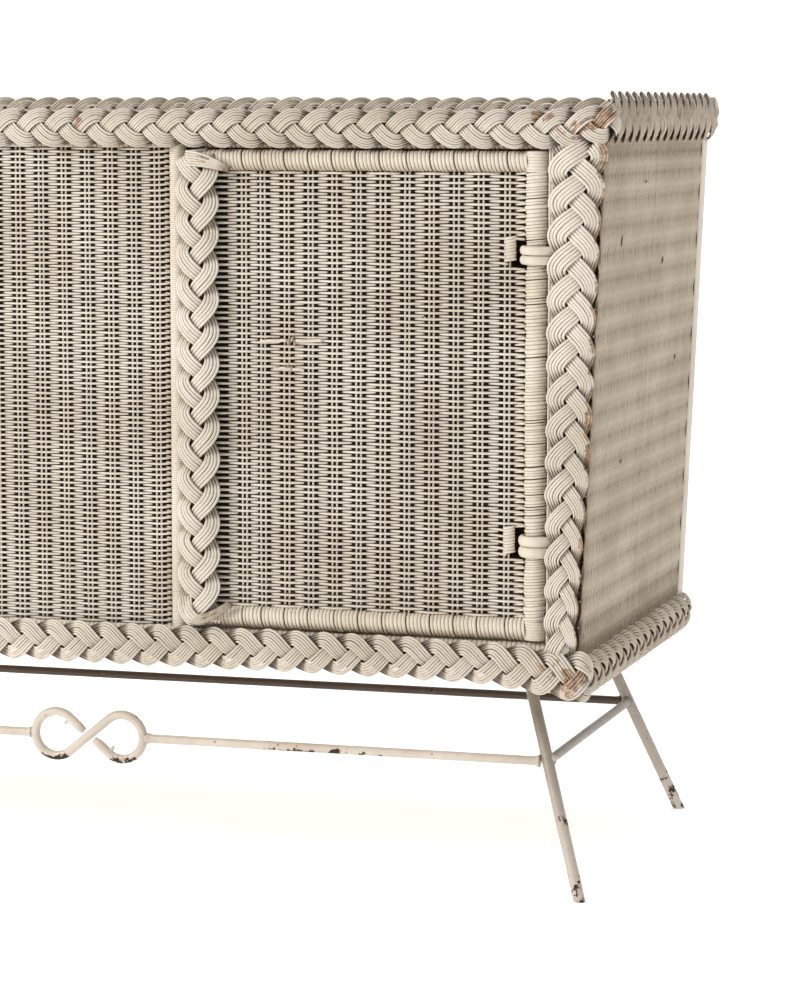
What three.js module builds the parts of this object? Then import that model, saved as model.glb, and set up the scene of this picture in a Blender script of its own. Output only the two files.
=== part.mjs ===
// Wicker sideboard cabinet on a bent-iron rod stand.
// Millimetres, +Z up, front towards -Y, origin at the middle of the footprint on the floor.
import * as THREE from "three";

// ---- driving dimensions ----
const DEPTH_PLANE = 239; // half depth to the centre of the front and rear poles
const SIDE_X_LOW = 548; // half width over the side panels at SIDE_Z_LOW
const SIDE_Z_LOW = 258;
const SIDE_X_HIGH = 571; // half width over the side panels at SIDE_Z_HIGH
const SIDE_Z_HIGH = 769;
const GAP = 0.4; // working gap between pieces that touch
const BRAID_BACK = 250.4; // inner face of the front and rear braids
const BRAID_FRONT = 262.4; // outer face of the front and rear braids

const BODY_Z0 = 226; // lower edge of the side panels
const BODY_Z1 = 775.8; // upper edge of the side panels
const RAIL_R = 10; // top and bottom poles
const RAIL_TOP_Z = 766;
const RAIL_LOW_Z = 237;

const DOOR_AXIS_X = 497.8; // centre of the hinge stile, which is the door's turning axis
const DOOR_AXIS_Y = -240;
const DOOR_FREE_X = 145; // centre of the free stile
const DOOR_POLE_R = 10.5;
const DOOR_Z0 = 261.6;
const DOOR_Z1 = 744.8;
const DOOR_RAIL_TOP_Z = 734.2;
const DOOR_RAIL_LOW_Z = 272.2;
const WEAVE_T = 8; // thickness of the open woven panels

const POST_R = 8.5;
const HINGE_POST_X = 518.3;
const HINGE_POST_Y = -232;
const HINGE_POST_R = 7.5;
const CENTRE_POST_X = 122.7;

const LEG_R = 6;
const FOOT_X = 544.8;
const FOOT_Y = 239;
const STRETCH_X = 498;
const STRETCH_Y = 185;
const STRETCH_Z = 129;
const STRETCH_R = 4.6;
const LEG_TOP_Z = 222.4;
const SCROLL_R = 22.4; // centre-line radius of each scroll eye
const SCROLL_CX = 37;

// ---- helpers ----
const WICKER = { color: 0xd9ccb9, roughness: 0.58, metalness: 0.0 };
const POLE = { color: 0xdccfba, roughness: 0.55, metalness: 0.0 };
const IRON = { color: 0xdcd2c3, roughness: 0.45, metalness: 0.0 };
const BOARD = { color: 0xcbbda7, roughness: 0.65, metalness: 0.0 };

const group = new THREE.Group();
group.name = "wicker_sideboard";

function put(name, geometry, look) {
  const mesh = new THREE.Mesh(geometry, new THREE.MeshStandardMaterial(look));
  mesh.name = name;
  group.add(mesh);
  return mesh;
}

const sideX = (z) =>
  SIDE_X_LOW + ((z - SIDE_Z_LOW) * (SIDE_X_HIGH - SIDE_X_LOW)) / (SIDE_Z_HIGH - SIDE_Z_LOW);

// A closed solid from two matching rings of points.
function loft(lower, upper) {
  const n = lower.length;
  const position = [];
  for (const p of lower) position.push(...p);
  for (const p of upper) position.push(...p);
  const index = [];
  for (let i = 0; i < n; i++) {
    const j = (i + 1) % n;
    index.push(i, j, n + j, i, n + j, n + i);
  }
  for (let i = 1; i < n - 1; i++) {
    index.push(0, i + 1, i);
    index.push(n, n + i, n + i + 1);
  }
  const g = new THREE.BufferGeometry();
  g.setAttribute("position", new THREE.Float32BufferAttribute(position, 3));
  g.setIndex(index);
  g.computeVertexNormals();
  return g;
}

// A round rod from a to b. With flat = true its ends are cut level, as for a foot on the floor.
function rod(a, b, r, flat = false, segments = 24) {
  const A = new THREE.Vector3(...a);
  const B = new THREE.Vector3(...b);
  const d = B.clone().sub(A).normalize();
  const helper = Math.abs(d.z) > 0.8 ? new THREE.Vector3(1, 0, 0) : new THREE.Vector3(0, 0, 1);
  const u = helper.clone().cross(d).normalize();
  const v = d.clone().cross(u);
  const ring = (c) => {
    const out = [];
    for (let i = 0; i < segments; i++) {
      const t = (2 * Math.PI * i) / segments;
      const p = c
        .clone()
        .addScaledVector(u, r * Math.cos(t))
        .addScaledVector(v, r * Math.sin(t));
      if (flat) p.addScaledVector(d, (c.z - p.z) / d.z);
      out.push([p.x, p.y, p.z]);
    }
    return out;
  };
  return loft(ring(A), ring(B));
}

// A box given by its low and high corners.
function slab(x0, y0, z0, x1, y1, z1) {
  const g = new THREE.BoxGeometry(x1 - x0, y1 - y0, z1 - z0);
  g.translate((x0 + x1) / 2, (y0 + y1) / 2, (z0 + z1) / 2);
  return g;
}

// The outline of a rounded bar of the given width and thickness.
function barOutline(w, t, r, steps = 3) {
  const out = [];
  const corners = [
    [w / 2 - r, t / 2 - r, 0],
    [-w / 2 + r, t / 2 - r, 90],
    [-w / 2 + r, -t / 2 + r, 180],
    [w / 2 - r, -t / 2 + r, 270],
  ];
  for (const [cx, cy, a0] of corners)
    for (let i = 0; i <= steps; i++) {
      const a = ((a0 + (90 * i) / steps) * Math.PI) / 180;
      out.push([cx + r * Math.cos(a), cy + r * Math.sin(a)]);
    }
  return out;
}

// A plaited edging as a rounded bar along X.
function barX(x0, x1, yc, zc, h, t) {
  const o = barOutline(t, h, Math.min(t, h) * 0.42);
  return loft(
    o.map(([y, z]) => [x0, yc + y, zc + z]),
    o.map(([y, z]) => [x1, yc + y, zc + z]),
  );
}

// A plaited edging as a rounded bar along Y.
function barY(y0, y1, xc, zc, h, t) {
  const o = barOutline(t, h, Math.min(t, h) * 0.42);
  return loft(
    o.map(([x, z]) => [xc - x, y0, zc + z]),
    o.map(([x, z]) => [xc - x, y1, zc + z]),
  );
}

// Mirrors a geometry to the other side of X = 0 and turns its faces back outward.
function mirrored(g) {
  const m = g.clone();
  const p = m.attributes.position;
  for (let i = 0; i < p.count; i++) p.setX(i, -p.getX(i));
  if (m.index) {
    const a = m.index.array;
    for (let i = 0; i < a.length; i += 3) {
      const t = a[i];
      a[i] = a[i + 1];
      a[i + 1] = t;
    }
  } else {
    for (let i = 0; i < p.count; i += 3) {
      const t = [p.getX(i), p.getY(i), p.getZ(i)];
      p.setXYZ(i, p.getX(i + 1), p.getY(i + 1), p.getZ(i + 1));
      p.setXYZ(i + 1, ...t);
    }
  }
  m.computeVertexNormals();
  return m;
}

function pair(stem, right, look) {
  put(stem.replace("#", "right"), right, look);
  put(stem.replace("#", "left"), mirrored(right), look);
}

// ---- iron stand ----
const legTop = (s) => {
  const k = LEG_TOP_Z / STRETCH_Z;
  return [FOOT_X + (STRETCH_X - FOOT_X) * k, s * (FOOT_Y + (STRETCH_Y - FOOT_Y) * k), LEG_TOP_Z];
};
pair("leg_front_#", rod([FOOT_X, -FOOT_Y, 0], legTop(-1), LEG_R, true), IRON);
pair("leg_rear_#", rod([FOOT_X, FOOT_Y, 0], legTop(1), LEG_R, true), IRON);

// flat bars under the floor, front to back, that carry the cabinet on the leg tops
pair(
  "mount_bar_#",
  slab(legTop(1)[0] - 13, -172, LEG_TOP_Z + GAP, legTop(1)[0] + 13, 172, LEG_TOP_Z + GAP + 5),
  IRON,
);

const LEG_CLEAR = 9.4; // half thickness of a leaning leg at stretcher height, with the gap
const SCROLL_END = SCROLL_CX + SCROLL_R + STRETCH_R + GAP;
pair(
  "stretcher_front_#",
  rod([SCROLL_END, -STRETCH_Y, STRETCH_Z], [STRETCH_X - LEG_CLEAR, -STRETCH_Y, STRETCH_Z], STRETCH_R),
  IRON,
);
put(
  "stretcher_rear",
  rod(
    [-(STRETCH_X - LEG_CLEAR), STRETCH_Y, STRETCH_Z],
    [STRETCH_X - LEG_CLEAR, STRETCH_Y, STRETCH_Z],
    STRETCH_R,
  ),
  IRON,
);
pair(
  "stretcher_side_#",
  rod(
    [STRETCH_X, -(STRETCH_Y - LEG_CLEAR), STRETCH_Z],
    [STRETCH_X, STRETCH_Y - LEG_CLEAR, STRETCH_Z],
    STRETCH_R,
  ),
  IRON,
);

// the S scroll in the middle of the front stretcher: one bent rod
{
  const tilt = Math.asin(SCROLL_R / SCROLL_CX);
  const half = [];
  half.push([9.5, -5.3]);
  const from = (-132 * Math.PI) / 180;
  const to = Math.PI / 2 + tilt;
  const steps = 20;
  for (let i = 0; i <= steps; i++) {
    const a = from + ((to - from) * i) / steps;
    half.push([SCROLL_CX + SCROLL_R * Math.cos(a), SCROLL_R * Math.sin(a)]);
  }
  const path = [...half, ...half.map(([x, z]) => [-x, -z]).reverse()];
  const pts = path.map(([x, z]) => new THREE.Vector3(x, -STRETCH_Y, STRETCH_Z + z));
  const SEG = 12;
  const position = [];
  const n = pts.length;
  for (let i = 0; i < n; i++) {
    const before = pts[Math.max(i - 1, 0)];
    const after = pts[Math.min(i + 1, n - 1)];
    const t = after.clone().sub(before).normalize();
    const side = new THREE.Vector3(0, 1, 0);
    const up = t.clone().cross(side).normalize();
    for (let k = 0; k < SEG; k++) {
      const a = (2 * Math.PI * k) / SEG;
      const p = pts[i]
        .clone()
        .addScaledVector(up, STRETCH_R * Math.cos(a))
        .addScaledVector(side, STRETCH_R * Math.sin(a));
      position.push(p.x, p.y, p.z);
    }
  }
  const index = [];
  for (let i = 0; i < n - 1; i++)
    for (let k = 0; k < SEG; k++) {
      const a = i * SEG + k;
      const b = i * SEG + ((k + 1) % SEG);
      index.push(a, a + SEG, b, b, a + SEG, b + SEG);
    }
  for (let k = 1; k < SEG - 1; k++) {
    index.push(0, k, k + 1);
    const e = (n - 1) * SEG;
    index.push(e, e + k + 1, e + k);
  }
  const g = new THREE.BufferGeometry();
  g.setAttribute("position", new THREE.Float32BufferAttribute(position, 3));
  g.setIndex(index);
  g.computeVertexNormals();
  put("stretcher_scroll", g, IRON);
}

// ---- cabinet frame: poles ----
const CORNER_R = 7.2;
const CORNER_Y = -241.5;
const postX = (z) => sideX(z) - 6 - CORNER_R - GAP;
const POST_Z0 = RAIL_LOW_Z + RAIL_R + GAP;
const POST_Z1 = RAIL_TOP_Z - RAIL_R - GAP;
pair(
  "corner_post_front_#",
  rod([postX(POST_Z0), CORNER_Y, POST_Z0], [postX(POST_Z1), CORNER_Y, POST_Z1], CORNER_R, true),
  POLE,
);
// the rear corner posts are flat battens that close the rear edge of each side
{
  const o = barOutline(20, 25, 5);
  const at = (z) => o.map(([x, y]) => [sideX(z) - 10.5 + x, 226.5 + y, z]);
  pair("corner_post_rear_#", loft(at(POST_Z0), at(POST_Z1)), POLE);
}
pair(
  "hinge_post_#",
  rod([HINGE_POST_X, HINGE_POST_Y, POST_Z0], [HINGE_POST_X, HINGE_POST_Y, POST_Z1], HINGE_POST_R),
  POLE,
);
pair(
  "centre_post_#",
  rod([CENTRE_POST_X, -240, POST_Z0], [CENTRE_POST_X, -240, POST_Z1], POST_R),
  POLE,
);
for (const [name, y] of [
  ["front", -DEPTH_PLANE],
  ["back", DEPTH_PLANE],
]) {
  const top = sideX(RAIL_TOP_Z - RAIL_R) - 6 - GAP;
  const low = sideX(RAIL_LOW_Z - RAIL_R) - 6 - GAP;
  put(`rail_top_${name}`, rod([-top, y, RAIL_TOP_Z], [top, y, RAIL_TOP_Z], RAIL_R), POLE);
  put(`rail_bottom_${name}`, rod([-low, y, RAIL_LOW_Z], [low, y, RAIL_LOW_Z], RAIL_R), POLE);
}

// ---- cabinet panels ----
{
  // a leaning side panel, up to the rear batten
  const ring = (z) => [
    [sideX(z), -249.8, z],
    [sideX(z), 213.4, z],
    [sideX(z) - 6, 213.4, z],
    [sideX(z) - 6, -249.8, z],
  ];
  pair("panel_side_#", loft(ring(BODY_Z0), ring(BODY_Z1)), WICKER);
}
put("panel_top", slab(-570.6, -249.8, 776.4, 570.6, 249.8, 783.4), WICKER);
put(
  "panel_floor",
  slab(-(sideX(230) - 6.6), -228.4, 229.2, sideX(230) - 6.6, 228.4, 239.2),
  BOARD,
);
{
  const edge = (z) => sideX(z) - 21.2;
  const ring = (z) => [
    [-edge(z), 231, z],
    [edge(z), 231, z],
    [edge(z), 238, z],
    [-edge(z), 238, z],
  ];
  put("panel_back", loft(ring(POST_Z0), ring(POST_Z1)), WICKER);
}
{
  const x = CENTRE_POST_X - POST_R - GAP;
  put("panel_centre", slab(-x, -244, POST_Z0, x, -244 + WEAVE_T, POST_Z1), WICKER);
}

// ---- plaited edgings ----
const BRAID_Y = (BRAID_BACK + BRAID_FRONT) / 2;
const BRAID_T = BRAID_FRONT - BRAID_BACK;
put("braid_top_front", barX(-581, 581, -BRAID_Y, 766.5, 39, BRAID_T), WICKER);
put("braid_top_back", barX(-581, 581, BRAID_Y, 779, 42, BRAID_T), WICKER);
pair("braid_top_#", barY(-249.9, 249.9, 576.3, 775, 50, 8.6), WICKER);
put("braid_bottom_front", barX(-556, 556, -BRAID_Y, 239, 42, BRAID_T), WICKER);
pair("braid_bottom_#", barY(-249.9, 249.9, 553.6, 225.5, 47, 9), WICKER);
{
  // a tapered plait down each front corner
  const section = (z, x1) => {
    const x0 = 512.4;
    const o = barOutline(x1 - x0, BRAID_T, 5.2);
    return o.map(([x, y]) => [(x0 + x1) / 2 + x, -BRAID_Y + y, z]);
  };
  const rows = [section(260.8, 540), section(480, 555.2), section(676, 562), section(746.4, 571.5)];
  const n = rows[0].length;
  const position = rows.flat(2);
  const index = [];
  for (let r = 0; r < rows.length - 1; r++)
    for (let i = 0; i < n; i++) {
      const a = r * n + i;
      const b = r * n + ((i + 1) % n);
      index.push(a, b, b + n, a, b + n, a + n);
    }
  const e = (rows.length - 1) * n;
  for (let i = 1; i < n - 1; i++) {
    index.push(0, i + 1, i);
    index.push(e, e + i, e + i + 1);
  }
  const g = new THREE.BufferGeometry();
  g.setAttribute("position", new THREE.Float32BufferAttribute(position, 3));
  g.setIndex(index);
  g.computeVertexNormals();
  pair("braid_corner_#", g, WICKER);
}

// ---- doors ----
pair(
  "door_#_stile_hinge",
  rod([DOOR_AXIS_X, DOOR_AXIS_Y, DOOR_Z0], [DOOR_AXIS_X, DOOR_AXIS_Y, DOOR_Z1], DOOR_POLE_R),
  POLE,
);
pair(
  "door_#_stile_free",
  rod([DOOR_FREE_X, DOOR_AXIS_Y, DOOR_Z0], [DOOR_FREE_X, DOOR_AXIS_Y, DOOR_Z1], DOOR_POLE_R),
  POLE,
);
const RAIL_X0 = DOOR_FREE_X + DOOR_POLE_R + GAP;
const RAIL_X1 = DOOR_AXIS_X - DOOR_POLE_R - GAP;
pair(
  "door_#_rail_top",
  rod([RAIL_X0, DOOR_AXIS_Y, DOOR_RAIL_TOP_Z], [RAIL_X1, DOOR_AXIS_Y, DOOR_RAIL_TOP_Z], DOOR_POLE_R),
  POLE,
);
pair(
  "door_#_rail_bottom",
  rod([RAIL_X0, DOOR_AXIS_Y, DOOR_RAIL_LOW_Z], [RAIL_X1, DOOR_AXIS_Y, DOOR_RAIL_LOW_Z], DOOR_POLE_R),
  POLE,
);
const RINGS = [
  { z: 647.7, h: 4.4 },
  { z: 638.3, h: 4.4 },
  { z: 361.2, h: 5.2 },
  { z: 350.3, h: 5.2 },
];
{
  const z0 = DOOR_RAIL_LOW_Z + DOOR_POLE_R + GAP;
  const z1 = DOOR_RAIL_TOP_Z - DOOR_POLE_R - GAP;
  const shape = new THREE.Shape();
  const notch = RAIL_X1 - 12.4;
  shape.moveTo(RAIL_X0, z0);
  shape.lineTo(RAIL_X1, z0);
  shape.lineTo(RAIL_X1, 342.5);
  shape.lineTo(notch, 342.5);
  shape.lineTo(notch, 372);
  shape.lineTo(RAIL_X1, 372);
  shape.lineTo(RAIL_X1, 632.5);
  shape.lineTo(notch, 632.5);
  shape.lineTo(notch, 658);
  shape.lineTo(RAIL_X1, 658);
  shape.lineTo(RAIL_X1, z1);
  shape.lineTo(RAIL_X0, z1);
  const g = new THREE.ExtrudeGeometry(shape, { depth: WEAVE_T, bevelEnabled: false });
  g.rotateX(Math.PI / 2);
  g.translate(0, -236, 0);
  pair("door_#_panel", g, WICKER);
}
{
  const o = barOutline(45, BRAID_T, 5.2);
  const at = (z) => o.map(([x, y]) => [148.5 + x, -BRAID_Y - 0.6 + y, z]);
  pair("door_#_braid", loft(at(DOOR_Z0 + 1), at(DOOR_Z1 - 1)), WICKER);
}

// ---- hinge rings: flattened cane loops round the door stile and the hinge post ----
{
  const HALF_T = 3; // half thickness of the cane, measured out from the poles
  const rStile = DOOR_POLE_R + 0.5 + HALF_T;
  const rPost = HINGE_POST_R + GAP + HALF_T;
  const c0 = new THREE.Vector2(DOOR_AXIS_X, DOOR_AXIS_Y);
  const c1 = new THREE.Vector2(HINGE_POST_X, HINGE_POST_Y);
  const d = c1.clone().sub(c0);
  const base = Math.atan2(d.y, d.x);
  const spread = Math.acos((rStile - rPost) / d.length());
  const line = [];
  const STEPS = 12;
  for (let i = 0; i <= STEPS; i++) {
    const a = base + spread + ((2 * Math.PI - 2 * spread) * i) / STEPS;
    line.push([c0.x + rStile * Math.cos(a), c0.y + rStile * Math.sin(a), Math.cos(a), Math.sin(a)]);
  }
  for (let i = 0; i <= 8; i++) {
    const a = base - spread + (2 * spread * i) / 8;
    line.push([c1.x + rPost * Math.cos(a), c1.y + rPost * Math.sin(a), Math.cos(a), Math.sin(a)]);
  }
  RINGS.forEach(({ z, h }, k) => {
    const SEG = 10;
    const position = [];
    const n = line.length;
    for (const [x, y, nx, ny] of line)
      for (let s = 0; s < SEG; s++) {
        const a = (2 * Math.PI * s) / SEG;
        position.push(
          x + nx * HALF_T * Math.cos(a),
          y + ny * HALF_T * Math.cos(a),
          z + h * Math.sin(a),
        );
      }
    const index = [];
    for (let i = 0; i < n; i++)
      for (let s = 0; s < SEG; s++) {
        const a = i * SEG + s;
        const b = i * SEG + ((s + 1) % SEG);
        const c = ((i + 1) % n) * SEG + s;
        const e = ((i + 1) % n) * SEG + ((s + 1) % SEG);
        index.push(a, c, b, b, c, e);
      }
    const g = new THREE.BufferGeometry();
    g.setAttribute("position", new THREE.Float32BufferAttribute(position, 3));
    g.setIndex(index);
    g.computeVertexNormals();
    pair(`hinge_ring_#_${k + 1}`, g, POLE);
  });
}

export default group;
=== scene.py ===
import bpy
import math
import numpy as np
from mathutils import Matrix, Vector


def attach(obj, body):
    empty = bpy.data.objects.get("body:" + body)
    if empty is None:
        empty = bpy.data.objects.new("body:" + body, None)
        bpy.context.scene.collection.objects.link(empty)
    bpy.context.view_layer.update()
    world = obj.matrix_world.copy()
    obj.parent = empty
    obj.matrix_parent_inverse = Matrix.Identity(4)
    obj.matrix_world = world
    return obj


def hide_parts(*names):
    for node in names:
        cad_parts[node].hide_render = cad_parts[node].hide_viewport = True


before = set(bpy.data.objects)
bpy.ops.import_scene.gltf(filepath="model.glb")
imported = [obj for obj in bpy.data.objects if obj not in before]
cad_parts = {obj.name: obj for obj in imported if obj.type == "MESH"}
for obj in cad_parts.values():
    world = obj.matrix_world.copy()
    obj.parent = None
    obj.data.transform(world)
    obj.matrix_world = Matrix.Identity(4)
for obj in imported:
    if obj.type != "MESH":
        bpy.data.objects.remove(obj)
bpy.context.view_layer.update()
RNG = np.random.default_rng(20417)

# ------------------------------------------------------------------ sizes, in millimetres
BRAID_Y = 256.4
DOOR_AXIS_X, DOOR_AXIS_Y = 497.8, -240.0
DOOR_FREE_X = 145.0
DOOR_Z0, DOOR_Z1 = 261.6, 744.8
RAIL_TOP_Z, RAIL_LOW_Z = 734.2, 272.2
STRETCH_X, STRETCH_Y, STRETCH_Z = 498.0, 185.0, 129.0
SCROLL_CX, SCROLL_R, ROD_R = 37.0, 23.6, 4.6


def side_x(z):
    return 548.0 + (z - 258.0) * 23.0 / 511.0


# ------------------------------------------------------------------ mesh building
def unit(a):
    return a / np.maximum(np.linalg.norm(a, axis=-1, keepdims=True), 1e-9)


def smooth_noise(n, scale, rng, amp=1.0):
    """A smooth random line of n values that changes over about scale samples."""
    m = max(int(n / max(scale, 1)) + 4, 4)
    x = np.linspace(0, m - 1.001, n)
    c = rng.normal(size=m)
    i = np.floor(x).astype(int)
    f = x - i
    f = f * f * (3 - 2 * f)
    return amp * (c[i] * (1 - f) + c[np.minimum(i + 1, m - 1)] * f)


class Geo:
    """Collects closed tubes and lofts in one mesh, in millimetres."""

    def __init__(self):
        self.v, self.q, self.c = [], [], []
        # deep: how far a vertex lies in a crevice, under or behind other parts; the paints darken by it, which is
        # painted shade, mixed with dirt where it takes the grime colour
        self.att = {"rnd": [], "deep": [], "wear": [], "inner": []}
        self.n = 0

    def _add(self, V, quads, caps, rnd, deep, wear, inner=0.0):
        V = V.reshape(-1, 3)
        self.v.append(V.astype(np.float32))
        self.q.append(quads.reshape(-1, 4) + self.n)
        for cap in caps:
            self.c.append(cap + self.n)
        for name, value in (("rnd", rnd), ("deep", deep), ("wear", wear), ("inner", inner)):
            self.att[name].append(
                np.broadcast_to(np.asarray(value, np.float32).reshape(-1) if np.ndim(value) else np.float32(value), (len(V),)).astype(np.float32)
            )
        self.n += len(V)

    def tubes(self, P, up, ra, rb=None, k=6, rnd=None, deep=0.0, wear=0.0, closed=False, skew=None, turn=0.5, taper=False, inner=0.0):
        """P is (tubes, points, 3). ra is the radius along up, rb across it. deep and wear may be functions of the vertices."""
        P = np.asarray(P, float)
        if P.ndim == 2:
            P = P[None]
        m, n, _ = P.shape
        if closed:
            T = unit(np.roll(P, -1, 1) - np.roll(P, 1, 1))
        else:
            T = unit(np.gradient(P, axis=1))
        up = np.broadcast_to(np.asarray(up, float), P.shape)
        B = unit(np.cross(T, up))
        N = np.cross(B, T)
        ra = np.broadcast_to(np.asarray(ra, float), (m, n))
        rb = ra if rb is None else np.broadcast_to(np.asarray(rb, float), (m, n))
        if taper and n > 4 and not closed:
            s = np.ones(n)
            s[[0, -1]] = 0.62
            ra, rb = ra * s, rb * s
        a = 2 * np.pi * (np.arange(k) + turn) / k
        V = (
            P[:, :, None]
            + (ra[..., None] * np.cos(a))[..., None] * N[:, :, None]
            + (rb[..., None] * np.sin(a))[..., None] * B[:, :, None]
        )
        if skew is not None:
            V = V + (skew * np.sin(a))[None, None, :, None] * T[:, :, None]
        i = np.arange(m)[:, None, None] * n * k
        r = n if closed else n - 1
        j = np.arange(r)[None, :, None]
        j2 = (j + 1) % n
        c = np.arange(k)[None, None, :]
        c2 = (c + 1) % k
        quads = np.stack([i + j * k + c, i + j * k + c2, i + j2 * k + c2, i + j2 * k + c], -1)
        caps = []
        if not closed:
            base = np.arange(m)[:, None] * n * k
            caps.append(base + np.arange(k)[::-1][None])
            caps.append(base + (n - 1) * k + np.arange(k)[None])
        if rnd is None:
            rnd = RNG.random(m)
        rnd = np.broadcast_to(np.asarray(rnd, float).reshape(-1, 1, 1), (m, n, k))
        d = deep(V) if callable(deep) else np.broadcast_to(deep, (m, n, k))
        w = wear(V) if callable(wear) else np.broadcast_to(wear, (m, n, k))
        i = inner(V) if callable(inner) else np.broadcast_to(inner, (m, n, k))
        self._add(V, quads, caps, rnd.reshape(-1), np.asarray(d, float).reshape(-1), np.asarray(w, float).reshape(-1),
                  np.asarray(i, float).reshape(-1))

    def build(self, name, material, slot, body, *nodes):
        V = np.concatenate(self.v) * 0.001
        Q = np.concatenate(self.q)
        sizes, loops = [np.full(len(Q), 4)], [Q.ravel()]
        for cap in self.c:
            sizes.append(np.full(len(cap), cap.shape[1]))
            loops.append(cap.ravel())
        sizes, loops = np.concatenate(sizes), np.concatenate(loops)
        me = bpy.data.meshes.new(name)
        me.vertices.add(len(V))
        me.vertices.foreach_set("co", V.astype(np.float32).ravel())
        me.loops.add(len(loops))
        me.loops.foreach_set("vertex_index", loops.astype(np.int32))
        me.polygons.add(len(sizes))
        me.polygons.foreach_set("loop_start", np.concatenate([[0], np.cumsum(sizes)[:-1]]).astype(np.int32))
        me.polygons.foreach_set("use_smooth", np.ones(len(sizes), bool))
        me.update(calc_edges=True)
        for key, parts in self.att.items():
            a = me.attributes.new(key, "FLOAT", "POINT")
            a.data.foreach_set("value", np.concatenate(parts))
        ob = bpy.data.objects.new(name, me)
        bpy.context.scene.collection.objects.link(ob)
        me.materials.append(material)
        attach(ob, body)
        if nodes:
            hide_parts(*nodes)
        return ob


# ------------------------------------------------------------------ materials
class Nodes:
    def __init__(self, name):
        self.m = bpy.data.materials.new(name)
        self.m.use_nodes = True
        self.t = self.m.node_tree
        self.t.nodes.clear()
        self.out = self.t.nodes.new("ShaderNodeOutputMaterial")
        self.p = self.t.nodes.new("ShaderNodeBsdfPrincipled")
        self.t.links.new(self.p.outputs[0], self.out.inputs[0])
        self.coord = self.t.nodes.new("ShaderNodeTexCoord").outputs["Object"]

    def _in(self, socket, value):
        if hasattr(value, "is_output"):
            self.t.links.new(value, socket)
        else:
            socket.default_value = value

    def noise(self, scale, detail=3.0, rough=0.5, stretch=None, offset=(0, 0, 0)):
        m = self.t.nodes.new("ShaderNodeMapping")
        m.inputs["Scale"].default_value = stretch or (1, 1, 1)
        m.inputs["Location"].default_value = offset
        self.t.links.new(self.coord, m.inputs["Vector"])
        n = self.t.nodes.new("ShaderNodeTexNoise")
        n.inputs["Scale"].default_value = scale
        n.inputs["Detail"].default_value = detail
        n.inputs["Roughness"].default_value = rough
        self.t.links.new(m.outputs[0], n.inputs["Vector"])
        return n.outputs["Fac"]

    def att(self, name):
        a = self.t.nodes.new("ShaderNodeAttribute")
        a.attribute_name = name
        return a.outputs["Fac"]

    def math(self, op, a, b=0.0, clamp=False):
        n = self.t.nodes.new("ShaderNodeMath")
        n.operation = op
        n.use_clamp = clamp
        self._in(n.inputs[0], a)
        self._in(n.inputs[1], b)
        return n.outputs[0]

    def ramp(self, value, lo, hi, a=0.0, b=1.0):
        n = self.t.nodes.new("ShaderNodeMapRange")
        n.interpolation_type = "SMOOTHSTEP"
        self._in(n.inputs["Value"], value)
        n.inputs["From Min"].default_value = lo
        n.inputs["From Max"].default_value = hi
        n.inputs["To Min"].default_value = a
        n.inputs["To Max"].default_value = b
        return n.outputs["Result"]

    def mix(self, fac, a, b, kind="MIX"):
        n = self.t.nodes.new("ShaderNodeMix")
        n.data_type = "RGBA"
        n.blend_type = kind
        self._in(n.inputs[0], fac)
        self._in(n.inputs[6], a if hasattr(a, "is_output") else (*a, 1.0))
        self._in(n.inputs[7], b if hasattr(b, "is_output") else (*b, 1.0))
        return n.outputs[2]

    def bump(self, height, strength, distance):
        n = self.t.nodes.new("ShaderNodeBump")
        n.inputs["Strength"].default_value = strength
        n.inputs["Distance"].default_value = distance
        self.t.links.new(height, n.inputs["Height"])
        self.t.links.new(n.outputs[0], self.p.inputs["Normal"])


def srgb(r, g, b):
    f = lambda c: c / 12.92 if c <= 0.04045 else ((c + 0.055) / 1.055) ** 2.4
    return tuple(f(x / 255) for x in (r, g, b))


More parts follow.
